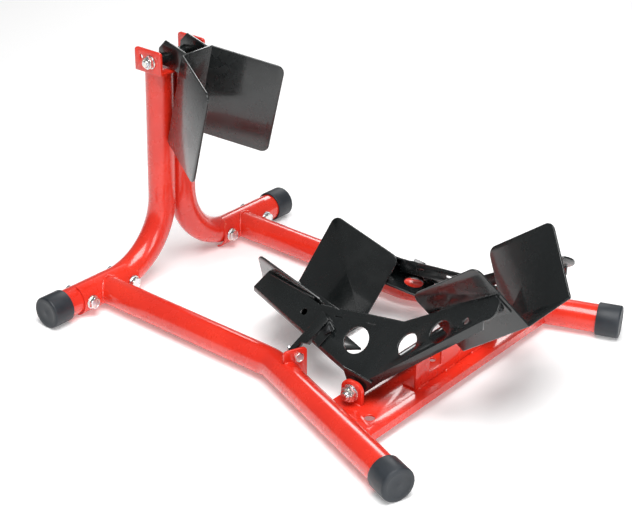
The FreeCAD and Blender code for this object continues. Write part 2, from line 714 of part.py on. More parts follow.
def pivot_parts():
    """The cradle's pivot tube with a bush in each end, and the long bolt through the tabs."""
    half = pivot_tube_half()
    outer_face = dim("tab_x") + dim("tab_thick")
    node(ring_along(pivot_point(-half), ALONG_X, "dims.pivot_tube_dia / 2", "dims.bush_dia / 2",
                    f"{2 * half}"), "pivot_tube")
    for name, side in SIDES.items():
        outward = ALONG_X * side
        sleeve = cylinder("dims.bush_dia / 2", "dims.bush_depth",
                          pivot_point(side * (half - dim("bush_depth"))), outward)
        flange = cylinder("dims.pivot_tube_dia / 2", "dims.bush_flange", pivot_point(side * half), outward)
        bore = cylinder("dims.pivot_dia / 2 + dims.hinge_clearance", "60",
                        pivot_point(side * (half - 40)), outward)
        node(cut(fuse(sleeve, flange), bore), f"{name}_pivot_bush")
    washer = dim("washer_thick")
    node(bolt_along(pivot_point(outer_face + washer), -ALONG_X, "pivot_dia",
                    f"{2 * outer_face + 2 * washer + 14}", 0.95), "pivot_bolt")
    node(nut_along(pivot_point(-outer_face - washer), -ALONG_X, "pivot_dia"), "pivot_nut")
    washers = [ring_along(pivot_point(side * outer_face), ALONG_X * side, "dims.pivot_dia",
                          "dims.pivot_dia / 2", "dims.washer_thick") for side in SIDES.values()]
    node(group(washers), "pivot_washers")


# ---------------------------------------------------------------- rear cross member

def rail_bars():
    """The rails as solid bars, used to cope what is welded to them."""
    return [sweep(rail_path(side), "dims.tube_dia / 2") for side in SIDES.values()]


def rail_axis_x(back):
    run = dim("rail_end_back") - dim("rail_knee_back")
    return dim("rail_x") + (dim("rail_end_x") - dim("rail_x")) * (back - dim("rail_knee_back")) / run


def cross_member():
    """A folded channel, open below, between the two rails."""
    front, rear = dim("cross_front_back"), dim("cross_rear_back")
    top, thick = dim("cross_top"), dim("cross_thick")
    front_x, rear_x = rail_axis_x(front), rail_axis_x(rear)
    drop = Vector(0, 0, -dim("cross_drop"))
    skin = prism([at(-front_x, front, top), at(front_x, front, top), at(rear_x, rear, top),
                  at(-rear_x, rear, top)], Vector(0, 0, -thick))
    lips = []
    for back, x, inward in ((front, front_x, -1), (rear, rear_x, 1)):
        ends = [at(-x, back, top), at(x, back, top)]
        lips.append(prism([ends[0], ends[1], ends[1] + drop, ends[0] + drop], ALONG_Y * inward * thick))
    holes = [cylinder("dims.cross_hole_dia / 2", "20", at(x, dim("cross_hole_back"), top - 10), ALONG_Z)
             for x in (-dim("cross_hole_x"), dim("cross_hole_x"))]
    centre = at(0, dim("centre_hole_back"), top - 10)
    holes.append(cylinder("dims.centre_hole_dia / 2", "20", centre, ALONG_Z))
    return node(cut(fuse(skin, *lips), *rail_bars(), *holes), "rear_cross_member")


def rest_bracket():
    """A raised angle with three lugs, welded along the top of the cross member."""
    top, thick = dim("cross_top"), dim("cross_thick")
    half, back = dim("rest_half"), dim("rest_back")
    foot = box("dims.rest_half * 2", "dims.rest_foot", "dims.cross_thick",
               Placement(at(-half, back, top), Rotation()))
    wall = box("dims.rest_half * 2", "dims.cross_thick", "dims.rest_height",
               Placement(at(-half, back, top), Rotation()))
    notches = [box("dims.rest_notch", "dims.cross_thick * 3", "dims.rest_height",
                   Placement(at(middle - dim("rest_notch") / 2, back + thick,
                                top + dim("rest_notch_base")), Rotation()))
               for middle in (-dim("rest_notch_x"), dim("rest_notch_x"))]
    return node(cut(fuse(foot, wall), *notches), "rest_bracket")


def pivot_tab(name, side):
    """A round-topped plate on the cross member that holds the pivot bolt."""
    thick, width = dim("tab_thick"), dim("tab_width")
    x = side * dim("tab_x") if side > 0 else -dim("tab_x") - thick
    foot = at(x, dim("pivot_back") + width / 2, dim("cross_top"))
    plate = box("dims.tab_thick", "dims.tab_width", "dims.tab_top - dims.cross_top",
                Placement(foot, Rotation()))
    rounded_plate = rounded(plate, 13, lambda edge: edge.BoundBox.ZMin > dim("tab_top") - 0.1
                            and edge.BoundBox.XLength > 1 and edge.BoundBox.YLength < 0.1)
    hole = cylinder("dims.pivot_dia / 2 + dims.hole_clearance / 2", "40", pivot_point(x - 10), ALONG_X)
    return node(cut(rounded_plate, hole), f"{name}_pivot_tab")


# ---------------------------------------------------------------- cradle stops

def rail_tab(name, side):
    """A square plate across the rail's knee that carries the stop bolt."""
    width, thick = dim("rail_tab_width"), dim("rail_tab_thick")
    along = rail_direction(side)
    across = Vector(along.y, -along.x, 0)
    middle = at(side * dim("rail_tab_x"), dim("rail_tab_back"), dim("rail_tab_low"))
    turn = Rotation(across, along, ALONG_Z, "ZXY")
    plate = box("dims.rail_tab_width", "dims.rail_tab_thick", "dims.rail_tab_top - dims.rail_tab_low",
                Placement(middle - across * (width / 2) - along * (thick / 2), turn))
    rounded_plate = rounded(plate, 6, lambda edge: edge.BoundBox.ZMin > dim("rail_tab_top") - 0.1
                            and edge.Length < thick + 0.01)
    bar = sweep(rail_path(side), "dims.tube_dia / 2")
    point, way = stop_bolt_place(side)
    hole = cylinder("dims.stop_bolt_dia / 2 + dims.hole_clearance / 2", "60", point - way * 30, way)
    return node(cut(rounded_plate, bar, hole), f"{name}_rail_tab")


def stop_bolt_place(side):
    """The middle of the stop bolt's hole in the rail tab, and the axis direction."""
    along = rail_direction(side)
    inboard = dim("rail_tab_x") - dim("stop_bolt_x")
    across = Vector(along.y, -along.x, 0) * (side * inboard / abs(along.y))
    return at(side * dim("rail_tab_x"), dim("rail_tab_back"), dim("stop_bolt_height")) + across, along


def stop_bolts():
    """Bolts screwed into the rail tabs; the arms come to rest on their shanks."""
    bolts = []
    for side in SIDES.values():
        middle, way = stop_bolt_place(side)
        rear_face = middle + way * dim("rail_tab_thick") / 2
        bolts.append(bolt_along(rear_face, way * -1, "stop_bolt_dia", "dims.stop_bolt_reach", 0.92))
    node(group(bolts), "stop_bolts")


def arm_bolt_place(side):
    point = on_facet(front_facet(), -dim("arm_bolt_x"), dim("arm_bolt_back"))
    return mirrored(point, side), mirrored(facet_normal(front_facet()), side)


def arm_bolt_hole(side):
    point, normal = arm_bolt_place(side)
    return cylinder("dims.stop_bolt_dia / 2 + dims.hole_clearance / 2", "24", point - normal * 12, normal)


def stop_arm(name, side):
    """A bar on the front facet with a bolted foot; a groove across its tip seats on the stop bolt."""
    normal = mirrored(facet_normal(front_facet()), side)
    bar, foot = (prism([mirrored(on_facet(front_facet(), -x, back), side) for x, back in corners],
                       normal * dim(thick))
                 for corners, thick in ((ARM_CORNERS, "arm_thick"), (ARM_FOOT_CORNERS, "arm_foot_thick")))
    middle, way = stop_bolt_place(side)
    groove = cylinder("dims.stop_bolt_dia / 2 + dims.side_gap", "dims.stop_bolt_reach * 2",
                      middle, way * -1)
    return node(cut(fuse(bar, foot), arm_bolt_hole(side), groove), f"{name}_stop_arm")


def arm_fasteners():
    """Square headed bolts on the arms, with a nut under each panel."""
    bolts, nuts = [], []
    for side in SIDES.values():
        point, normal = arm_bolt_place(side)
        face = point + normal * dim("arm_foot_thick")
        head = doc.addObject("Part::Prism", "SquareHead")
        head.Polygon = 4
        bind(head, pointing(face, normal), Circumradius="dims.stop_bolt_dia * 0.95", Height="4")
        shank = cylinder("dims.stop_bolt_dia / 2", "dims.arm_foot_thick + dims.sheet_thick + 10",
                         face, normal * -1)
        bolts.append(fuse(head, shank))
        under = point - normal * (dim("sheet_thick") + 0.1)
        nuts.append(nut_along(under, normal * -1, "stop_bolt_dia"))
    node(group(bolts), "arm_bolts")
    node(group(nuts), "arm_nuts")


# ---------------------------------------------------------------- assembly and export

for name, side in SIDES.items():
    upright_tube(name, side)
    side_rail(name, side)
    saddle_plate(name, side)
    upright_bracket(name, side)
    holder_ear(name, side)
    pivot_tab(name, side)
    rail_tab(name, side)
    side_panel(name, side)
    stop_arm(name, side)
saddle_fasteners()
foot_caps()
top_axle_parts()
holder_plate()
holder_sleeve()
cross_member()
rest_bracket()
pivot_parts()
stop_bolts()
arm_fasteners()
for prefix in ("front_guide", "rear_guide"):
    wheel_guide(prefix)
    guide_fasteners(prefix)

doc.recompute()
for item in nodes:
    broken = "Invalid" in item.State or "Error" in item.State or not item.Shape.isValid()
    if broken or not item.Shape.Solids:
        raise RuntimeError(f"{item.Label} did not build")
    item.Shape.exportStep(f"parts/{item.Label}.step")
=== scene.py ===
import bmesh
import bpy
import json
import math
import random
from mathutils import Matrix, Vector


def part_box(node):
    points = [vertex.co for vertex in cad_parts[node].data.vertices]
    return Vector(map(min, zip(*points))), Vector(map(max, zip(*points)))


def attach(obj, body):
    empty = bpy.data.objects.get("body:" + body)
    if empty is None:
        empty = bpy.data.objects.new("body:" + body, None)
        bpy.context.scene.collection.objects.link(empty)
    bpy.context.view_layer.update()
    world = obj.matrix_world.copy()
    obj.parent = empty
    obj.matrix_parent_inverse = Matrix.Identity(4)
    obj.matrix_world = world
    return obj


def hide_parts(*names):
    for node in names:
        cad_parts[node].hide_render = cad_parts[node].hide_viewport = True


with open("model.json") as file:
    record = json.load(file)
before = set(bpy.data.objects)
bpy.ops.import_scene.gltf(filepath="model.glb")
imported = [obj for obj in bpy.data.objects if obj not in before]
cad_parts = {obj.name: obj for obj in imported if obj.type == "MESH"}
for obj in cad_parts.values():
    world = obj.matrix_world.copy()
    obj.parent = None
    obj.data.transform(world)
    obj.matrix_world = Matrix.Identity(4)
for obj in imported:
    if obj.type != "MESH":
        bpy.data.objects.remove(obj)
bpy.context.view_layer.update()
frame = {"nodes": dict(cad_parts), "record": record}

# Paddock stand, in metres. X is across, +Y is the upright end, Z is up, zero on the floor.

MM = 0.001
SIDES = {"left": -1, "right": 1}
AXIS_X, AXIS_Y, AXIS_Z = Vector((1, 0, 0)), Vector((0, 1, 0)), Vector((0, 0, 1))
TUBE_RADIUS = 21 * MM
SADDLE_RADIUS = 24 * MM
RAIL_KNEE_BACK = 341 * MM
draw = random.Random(7)


# ---------------------------------------------------------------- camera

VIEW_AZIMUTH = math.radians(50.19)
VIEW_DROP = math.radians(26.99)
VIEW_ROLL = math.radians(0.55)
CAMERA_PLACE = Vector((-1.459, -1.1818, 1.075))
CAMERA_LENS = 84.8
SENSOR_WIDTH = 36
SENSOR_SHIFT = 0.002


def add_camera():
    forward = Vector((math.sin(VIEW_AZIMUTH) * math.cos(VIEW_DROP),
                      math.cos(VIEW_AZIMUTH) * math.cos(VIEW_DROP), -math.sin(VIEW_DROP)))
    right = Vector((math.cos(VIEW_AZIMUTH), -math.sin(VIEW_AZIMUTH), 0))
    up = right.cross(forward)
    side = right * math.cos(VIEW_ROLL) + up * math.sin(VIEW_ROLL)
    top = up * math.cos(VIEW_ROLL) - right * math.sin(VIEW_ROLL)
    camera = bpy.data.objects.new("camera", bpy.data.cameras.new("camera"))
    camera.data.lens = CAMERA_LENS
    camera.data.sensor_width = SENSOR_WIDTH
    camera.data.sensor_fit = "HORIZONTAL"
    camera.data.shift_x = SENSOR_SHIFT
    turn = Matrix((side, top, -forward)).transposed()
    camera.matrix_world = Matrix.Translation(CAMERA_PLACE) @ turn.to_4x4()
    bpy.context.scene.collection.objects.link(camera)
    bpy.context.scene.camera = camera


# ---------------------------------------------------------------- materials

def add_node(tree, kind, settings=(), **inputs):
    """A shader node; settings are attributes and inputs are socket values or linked outputs."""
    made = tree.nodes.new(kind)
    for name, value in dict(settings).items():
        setattr(made, name, value)
    for name, value in inputs.items():
        socket = made.inputs[name.replace("_", " ")]
        if isinstance(value, bpy.types.NodeSocket):
            tree.links.new(value, socket)
        else:
            socket.default_value = value
    return made


def start_material(name):
    made = bpy.data.materials.new(name)
    made.use_nodes = True
    tree = made.node_tree
    place = tree.nodes.new("ShaderNodeTexCoord").outputs["Object"]
    return made, tree, tree.nodes["Principled BSDF"], place


def noise(tree, place, scale, detail=3.0, roughness=0.5):
    return add_node(tree, "ShaderNodeTexNoise", Vector=place, Scale=scale, Detail=detail,
                    Roughness=roughness).outputs["Fac"]


def spread(tree, value, low, high, to_low, to_high):
    """A value taken from one range to another and held inside it."""
    made = add_node(tree, "ShaderNodeMapRange", Value=value, From_Min=low, From_Max=high,
                    To_Min=to_low, To_Max=to_high)
    return made.outputs["Result"]


def blended(tree, share, first, second):
    made = tree.nodes.new("ShaderNodeMix")
    made.data_type = "RGBA"
    for socket, value in ((made.inputs[0], share), (made.inputs[6], first), (made.inputs[7], second)):
        if isinstance(value, bpy.types.NodeSocket):
            tree.links.new(value, socket)
        else:
            socket.default_value = value
    return made.outputs[2]


def product(tree, first, second):
    made = tree.nodes.new("ShaderNodeMath")
    made.operation = "MULTIPLY"
    tree.links.new(first, made.inputs[0])
    tree.links.new(second, made.inputs[1])
    return made.outputs[0]


def bump(tree, height, strength, distance, normal=None):
    made = add_node(tree, "ShaderNodeBump", Height=height, Strength=strength, Distance=distance)
    if normal is not None:
        tree.links.new(normal, made.inputs["Normal"])
    return made.outputs["Normal"]


def edge_share(tree, distance):
    """Near 1 along outer edges and corners, 0 on open surfaces."""
    made = add_node(tree, "ShaderNodeAmbientOcclusion", {"inside": True, "samples": 6}, Distance=distance)
    return spread(tree, made.outputs["AO"], 0.62, 0.30, 0.0, 1.0)


def paint(name, deep, main, mark_tint, grain, coat_roughness):
    """Baked powder paint: faint orange peel, uneven gloss, dust, and thin paler edges that are partly
    rubbed paint and partly a painted edge highlight.
    """
    made, tree, shader, place = start_material(name)
    cloud = noise(tree, place, 9.0, 4.0)
    tone = blended(tree, spread(tree, cloud, 0.35, 0.65, 0.0, 1.0), deep, main)
    flecks = spread(tree, noise(tree, place, 750.0, 2.0, 0.7), 0.70, 0.80, 0.0, 0.35)
    patches = spread(tree, noise(tree, place, 14.0, 5.0, 0.6), 0.52, 0.70, 0.0, 1.0)
    dusty = blended(tree, product(tree, flecks, patches), tone, mark_tint)
    # Thin paler edges: partly rubbed paint and partly a painted edge highlight, broken up by noise.
    broken_edge_wear_and_highlight = spread(tree, noise(tree, place, 160.0, 4.0, 0.7), 0.48, 0.66, 0.0, 0.75)
    paler_edges = blended(tree, product(tree, edge_share(tree, 0.0012), broken_edge_wear_and_highlight), dusty, mark_tint)
    tree.links.new(paler_edges, shader.inputs["Base Color"])
    smudge = noise(tree, place, 26.0, 6.0, 0.65)
    tree.links.new(spread(tree, smudge, 0.35, 0.70, 0.20, 0.36), shader.inputs["Roughness"])
    peel = bump(tree, noise(tree, place, grain, 2.0), 0.20, 0.00012)
    waves = bump(tree, noise(tree, place, 55.0, 1.0), 0.10, 0.0008, peel)
    tree.links.new(waves, shader.inputs["Normal"])
    tree.links.new(waves, shader.inputs["Coat Normal"])
    shader.inputs["Coat Weight"].default_value = 0.65
    shader.inputs["Coat Roughness"].default_value = coat_roughness
    return made


def metal(name, cool, warm, low, high):
    """Zinc plated steel: a bright cloudy plate with fine drawn marks."""
    made, tree, shader, place = start_material(name)
    cloud = noise(tree, place, 180.0, 3.0, 0.5)
    tone = blended(tree, spread(tree, cloud, 0.38, 0.62, 0.0, 1.0), cool, warm)
    grime = spread(tree, noise(tree, place, 420.0, 3.0, 0.7), 0.62, 0.78, 0.0, 0.35)
    tree.links.new(blended(tree, grime, tone, (0.20, 0.19, 0.18, 1)), shader.inputs["Base Color"])
    tree.links.new(spread(tree, cloud, 0.3, 0.7, low, high), shader.inputs["Roughness"])
    fine = noise(tree, place, 2600.0, 2.0)
    tree.links.new(bump(tree, fine, 0.18, 0.00006), shader.inputs["Normal"])
    shader.inputs["Metallic"].default_value = 1.0
    return made


def rubber(name, deep, pale, mark_tint, low, high):
    """Moulded rubber: fine pebble, paler where it has been handled."""
    made, tree, shader, place = start_material(name)
    cloud = noise(tree, place, 30.0, 5.0, 0.6)
    tone = blended(tree, spread(tree, cloud, 0.35, 0.7, 0.0, 1.0), deep, pale)
    scuff = spread(tree, noise(tree, place, 95.0, 6.0, 0.75), 0.55, 0.75, 0.0, 0.8)
    paler_edges = blended(tree, product(tree, edge_share(tree, 0.002), scuff), tone, mark_tint)
    tree.links.new(paler_edges, shader.inputs["Base Color"])
    tree.links.new(spread(tree, cloud, 0.3, 0.7, low, high), shader.inputs["Roughness"])
    pebble = add_node(tree, "ShaderNodeTexVoronoi", Vector=place, Scale=1100.0).outputs["Distance"]
    tree.links.new(bump(tree, pebble, 0.35, 0.00010), shader.inputs["Normal"])
    return made


# The third colour of each paint tints its dust flecks and its thin paler edges; on the edges it is partly
# wear and partly a painted highlight.
MATERIALS = {
    "red_paint": paint("red powder paint", (0.68, 0.022, 0.010, 1), (0.80, 0.034, 0.014, 1),
                       (0.84, 0.16, 0.10, 1), 700.0, 0.07),
    "black_paint": paint("black powder paint", (0.0045, 0.0060, 0.0060, 1), (0.0070, 0.0090, 0.0095, 1),
                         (0.12, 0.125, 0.13, 1), 620.0, 0.06),
    "cap_rubber": rubber("cap rubber", (0.014, 0.018, 0.023, 1), (0.024, 0.030, 0.038, 1),
                         (0.09, 0.10, 0.11, 1), 0.40, 0.56),
    "zinc": metal("bright zinc", (0.72, 0.75, 0.80, 1), (0.84, 0.82, 0.74, 1), 0.16, 0.34),
    "black_zinc": metal("black zinc", (0.035, 0.037, 0.040, 1), (0.060, 0.062, 0.064, 1), 0.28, 0.45),
    "nylon": rubber("black nylon", (0.016, 0.016, 0.017, 1), (0.030, 0.030, 0.031, 1),
                    (0.08, 0.08, 0.08, 1), 0.35, 0.5),
}


# ---------------------------------------------------------------- mesh helpers

def piece_from(mesh, name, slot, body, replaced=(), sharp=35):
    """Finishes a bmesh as a piece that rides on a body."""
    bmesh.ops.recalc_face_normals(mesh, faces=mesh.faces)
    data = bpy.data.meshes.new(name)
    mesh.to_mesh(data)
    mesh.free()
    data.materials.append(MATERIALS[slot])
    data.polygons.foreach_set("use_smooth", [True] * len(data.polygons))
    data.set_sharp_from_angle(angle=math.radians(sharp))
    piece = bpy.data.objects.new(name, data)
    bpy.context.scene.collection.objects.link(piece)
    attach(piece, body)
    if replaced:
        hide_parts(*replaced)
    return piece


def frame_along(origin, direction):
    """A transform whose Z runs along the direction."""
    return Matrix.Translation(origin) @ direction.to_track_quat("Z", "Y").to_matrix().to_4x4()


def join_rings(mesh, below, above):
    """A band of faces between two rings of corners."""
    count = len(below)
    for step in range(count):
        after = (step + 1) % count
        mesh.faces.new((below[step], below[after], above[after], above[step]))


def add_rings(mesh, rings, place, closed_start=True, closed_end=True):
    """Skins rings of points; each ring is a list of local points of equal number."""
    made = [[mesh.verts.new(place @ point) for point in ring] for ring in rings]
    for below, above in zip(made, made[1:]):
        join_rings(mesh, below, above)
    if closed_start:
        mesh.faces.new(made[0][::-1])
    if closed_end:
        mesh.faces.new(made[-1])
    return made


def add_turned(mesh, profile, place, count=48, loop=False):
    """A turned shape from (radius, height) points; loop joins the last point to the first."""
    rings = [[Vector((radius * math.cos(2 * math.pi * step / count),
                      radius * math.sin(2 * math.pi * step / count), height))
              for step in range(count)] for radius, height in profile]
    made = add_rings(mesh, rings, place, not loop, not loop)
    if loop:
        join_rings(mesh, made[-1], made[0])


def islands(name):
    """The separate solids of a CAD node, each as a list of points."""
    mesh = bmesh.new()
    mesh.from_mesh(frame["nodes"][name].data)
    bmesh.ops.remove_doubles(mesh, verts=mesh.verts, dist=1e-6)
    left = set(mesh.verts)
    found = []
    while left:
        group, edge = set(), [left.pop()]
        while edge:
            vertex = edge.pop()
            group.add(vertex)
            linked = [link.other_vert(vertex) for link in vertex.link_edges]
            fresh = [other for other in linked if other in left]
            left.difference_update(fresh)
            edge.extend(fresh)
        found.append([vertex.co.copy() for vertex in group])
    mesh.free()
    return sorted(found, key=lambda points: tuple(round(part, 4) for part in centre_of(points)))


def centre_of(points):
    total = Vector()
    for point in points:
        total += point
    return total / len(points)


def span_along(points, direction):
    """The points' middle line along a direction, as its two ends."""
    turn = direction.to_track_quat("Z", "Y").to_matrix().transposed()
    local = [turn @ point for point in points]
    low = Vector([min(point[axis] for point in local) for axis in range(3)])
    high = Vector([max(point[axis] for point in local) for axis in range(3)])
    middle = (low + high) / 2
    back = turn.transposed()
    return (back @ Vector((middle.x, middle.y, low.z)), back @ Vector((middle.x, middle.y, high.z)))


# rounds of refining a solid's main axis
AXIS_ROUNDS = 12


def main_direction(points):
    """The long direction of a slender solid, found as its points' main axis."""
    middle = centre_of(points)
    far = max(points, key=lambda point: (point - middle).length)
    way = (far - middle).normalized()
    for _ in range(AXIS_ROUNDS):
        total = Vector()
        for point in points:
            offset = point - middle
            total += offset * offset.dot(way)
        way = total.normalized()
    return way


# ---------------------------------------------------------------- rolled copies of plate pieces

# an edge sharper than this is rolled, and facets flatter than the next are joined first
SHARP_EDGE = math.radians(38)
FLAT_JOIN = math.radians(0.4)


def rolled(name, slot, width, body):
    """A copy of a CAD plate with its sharp edges rolled, shown in its place."""
    mesh = bmesh.new()
    mesh.from_mesh(frame["nodes"][name].data)
    bmesh.ops.remove_doubles(mesh, verts=mesh.verts, dist=2e-6)
    bmesh.ops.dissolve_limit(mesh, angle_limit=FLAT_JOIN, verts=mesh.verts, edges=mesh.edges,
                             delimit=set())
    corners = [edge for edge in mesh.edges
               if len(edge.link_faces) == 2 and edge.calc_face_angle(0) > SHARP_EDGE]
    bmesh.ops.bevel(mesh, geom=corners, offset=width, offset_type="OFFSET", segments=2, profile=0.5,
                    affect="EDGES", clamp_overlap=False)
    return piece_from(mesh, name + "_rolled", slot, body, [name], 45)


# plates as (name, slot, width of the rolled edge, body); a paired one has a left and a right piece
PAIRED_PLATES = (
    ("upright_bracket", "red_paint", 0.55 * MM, "frame"),
    ("pivot_tab", "red_paint", 0.55 * MM, "frame"),
    ("rail_tab", "red_paint", 0.55 * MM, "frame"),
    ("stop_arm", "black_paint", 0.5 * MM, "cradle"),
    ("side_panel", "black_paint", 0.5 * MM, "cradle"),
    ("holder_ear", "black_paint", 0.5 * MM, "holder"),
)
SINGLE_PLATES = (
    ("holder_plate", "black_paint", 0.7 * MM, "holder"),
    ("front_guide", "black_paint", 0.7 * MM, "cradle"),
    ("rear_guide", "black_paint", 0.7 * MM, "cradle"),
    ("rear_cross_member", "red_paint", 0.8 * MM, "frame"),
    ("rest_bracket", "red_paint", 0.6 * MM, "frame"),
)


def add_plates():
    for word, slot, width, body in PAIRED_PLATES:
        for name in SIDES:
            rolled(f"{name}_{word}", slot, width, body)
    for word, slot, width, body in SINGLE_PLATES:
        rolled(word, slot, width, body)


# ---------------------------------------------------------------- weld beads

BEAD_STEP = 0.7 * MM
BEAD_PITCH = 2.6 * MM
BEAD_SIDES = 8
BEAD_RADII = {"saddle": 2.4 * MM, "bracket": 1.5 * MM, "cross": 2.1 * MM, "rail_tab": 1.7 * MM,
              "pivot_tab": 1.9 * MM, "rest_bracket": 1.8 * MM}
SADDLE_ARC = range(-44, 225, 4)
UPRIGHT_ARC = range(0, 361, 6)
TAB_ARC = range(82, 175, 4)
TAB_HALF_THICK = 2.2 * MM
STITCH_LENGTH = 24 * MM
STITCH_MARGIN = 6 * MM


def resampled(points, step):
    """Points an even distance apart along a line."""
    made = [points[0]]
    carry = 0.0
    for start, end in zip(points, points[1:]):
        length = (end - start).length
        place = step - carry
        while place < length:
            made.append(start.lerp(end, place / length))
            place += step
        carry = length - (place - step)
    return made


def weld_bead(name, lines, radius, slot, body):
    """Rippled beads laid along lines of points."""
    mesh = bmesh.new()
    for line in lines:
        points = resampled(line, BEAD_STEP)
        rings = []
        for number, point in enumerate(points):
            before, after = points[max(number - 1, 0)], points[min(number + 1, len(points) - 1)]
            way = (after - before).normalized()
            turn = way.to_track_quat("Z", "Y").to_matrix()
            phase = number * BEAD_STEP / BEAD_PITCH % 1
            end_fall = min(number, len(points) - 1 - number) * BEAD_STEP / radius
            size = radius * (0.84 + 0.20 * math.sqrt(phase)) * min(1.0, 0.35 + 0.5 * end_fall)
            size *= 1 + draw.uniform(-0.04, 0.04)
            rings.append([point + turn @ Vector((size * math.cos(angle), size * math.sin(angle), 0))
                          for angle in (2 * math.pi * step / BEAD_SIDES for step in range(BEAD_SIDES))])
        add_rings(mesh, rings, Matrix.Identity(4))
    return piece_from(mesh, name, slot, body, sharp=80)


def middle(name):
    low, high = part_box(name)
    return (low + high) / 2


FOOT = middle("front_left_cap")
RAIL_X = -middle("left_saddle_plate").x


def side_name(side):
    return "left" if side < 0 else "right"


def rail_line(side):
    """The knee and the unit direction of a rail's splayed rear length."""
    knee = Vector((side * RAIL_X, FOOT.y - RAIL_KNEE_BACK, FOOT.z))
    cap = middle(f"rear_{side_name(side)}_cap")
    return knee, (Vector((cap.x, cap.y, knee.z)) - knee).normalized()


def rail_outward(way, side):
    """The level direction across a rail, away from the stand's middle."""
    across = Vector((way.y, -way.x, 0))
    return across if across.x * side > 0 else -across


def saddle_seam(side):
    """Where a rail meets the saddle."""
    points = []
    for step in SADDLE_ARC:
        angle = math.radians(step)
        rise = TUBE_RADIUS * math.sin(angle)
        depth = math.sqrt(SADDLE_RADIUS ** 2 - rise ** 2)
        points.append(Vector((side * RAIL_X + TUBE_RADIUS * math.cos(angle), FOOT.y - depth,
                              FOOT.z + rise)))
    return points


def upright_seam(name):
    """Round the top of an upright, under its bracket."""
    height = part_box(name + "_upright_bracket")[0].z
    tube = [vertex.co for vertex in frame["nodes"][name + "_upright_tube"].data.vertices
            if vertex.co.z > height - 6 * MM]
    low = Vector([min(point[axis] for point in tube) for axis in range(3)])
    high = Vector([max(point[axis] for point in tube) for axis in range(3)])
    centre = (low + high) / 2
    radius = TUBE_RADIUS + 0.2 * MM
    return [Vector((centre.x + radius * math.cos(angle), centre.y + radius * math.sin(angle),
                    height - 0.4 * MM)) for angle in map(math.radians, UPRIGHT_ARC)]


def cross_member_seam(side):
    """Along a rail, where the cross member's top meets it."""
    low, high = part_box("rear_cross_member")
    knee, way = rail_line(side)
    inward = -rail_outward(way, side)
    rise = high.z - FOOT.z
    reach = math.sqrt(TUBE_RADIUS ** 2 - rise ** 2)
    ends = []
    for edge in (high.y, low.y):
        run = (edge - knee.y) / way.y
        point = knee + way * run + inward * reach
        shift = (edge - point.y) / way.y
        ends.append(point + way * shift + AXIS_Z * rise)
    return ends


def tab_arc(side, offset):
    """Where a rail tab's face sits on the rail: an arc round the rail."""
    knee, way = rail_line(side)
    tab = middle(side_name(side) + "_rail_tab")
    run = (Vector((tab.x, tab.y, knee.z)) - knee).dot(way)
    centre = knee + way * (run + offset)
    outward = rail_outward(way, side)
    return [centre + outward * (TUBE_RADIUS * math.cos(angle)) + AXIS_Z * (TUBE_RADIUS * math.sin(angle))
            for angle in map(math.radians, TAB_ARC)]


def base_line(name, x):
    """The foot of an upright plate on the cross member, at one of its faces."""
    low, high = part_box(name)
    return [Vector((x, low.y + MM, low.z)), Vector((x, high.y - MM, low.z))]


def red_weld(name, joint, lines):
    weld_bead(name, lines, BEAD_RADII[joint], "red_paint", "frame")


def add_welds():
    for name, side in SIDES.items():
        red_weld(name + "_saddle_weld", "saddle", [saddle_seam(side)])
        red_weld(name + "_bracket_weld", "bracket", [upright_seam(name)])
        red_weld(name + "_cross_weld", "cross", [cross_member_seam(side)])
        tab_arcs = [tab_arc(side, offset) for offset in (TAB_HALF_THICK, -TAB_HALF_THICK)]
        red_weld(name + "_rail_tab_weld", "rail_tab", tab_arcs)
        tab = name + "_pivot_tab"
        low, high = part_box(tab)
        red_weld(tab + "_weld", "pivot_tab", [base_line(tab, x) for x in (low.x, high.x)])
    low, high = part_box("rest_bracket")
    starts = (low.x + STITCH_MARGIN, -STITCH_LENGTH / 2, high.x - STITCH_LENGTH - STITCH_MARGIN)
    stitches = [[Vector((start, low.y, low.z)), Vector((start + STITCH_LENGTH, low.y, low.z))]
                for start in starts]
    red_weld("rest_bracket_weld", "rest_bracket", stitches)


# ---------------------------------------------------------------- fasteners

HEX_STEPS = 48
THREAD_STEPS = 24
LEVELS_PER_TURN = 6
# a groove's depth over the pitch
THREAD_DEPTH_SHARE = 0.36
# a head's thickness, a thread's pitch and its length, each over the shank's radius
HEX_HEAD_SHARE = 1.2
SQUARE_HEAD_SHARE = 1.0
PITCH_SHARE = 0.3
THREAD_LENGTH_SHARE = 5


def hex_ring(flat_radius, limit, height):
    """A hexagon's outline, held inside a circle, as a chamfered head has."""
    points = []
    for step in range(HEX_STEPS):
        angle = 2 * math.pi * step / HEX_STEPS
        within = (angle + math.pi / 6) % (math.pi / 3) - math.pi / 6
        radius = min(flat_radius / math.cos(within), limit)
        points.append(Vector((radius * math.cos(angle), radius * math.sin(angle), height)))
    return points


def hex_rings(corner_radius, thick, bottom_chamfer):
    """Rings of a hexagon from its seat upward, chamfered at the top and perhaps the bottom."""
    flat = corner_radius * math.cos(math.pi / 6)
    slope = math.tan(math.radians(30))
    rings = []
    for share in (0.0, 0.05, 0.10, 0.16, 0.24, 0.76, 0.84, 0.90, 0.95, 1.0):
        height = share * thick
        limit = flat * 0.96 + (thick - height) / slope
        if bottom_chamfer:
            limit = min(limit, flat * 0.96 + height / slope)
        rings.append(hex_ring(flat, limit, height))
    return rings


def level_way(point):
    """The unit direction from the axis to a point."""
    return Vector((point.x, point.y, 0)).normalized()


def add_hex_head(mesh, seat, way, corner_radius, thick):
    """A bolt head with a chamfer and a shallow dish."""
    place = frame_along(seat, way)
    rings = hex_rings(corner_radius, thick, False)
    dish = corner_radius * 0.70
    rings.append([Vector((point.x * 0.86, point.y * 0.86, thick + 0.02 * MM)) for point in rings[-1]])
    rings.append([level_way(point) * dish + AXIS_Z * (thick * 0.93) for point in rings[0]])
    add_rings(mesh, rings, place)


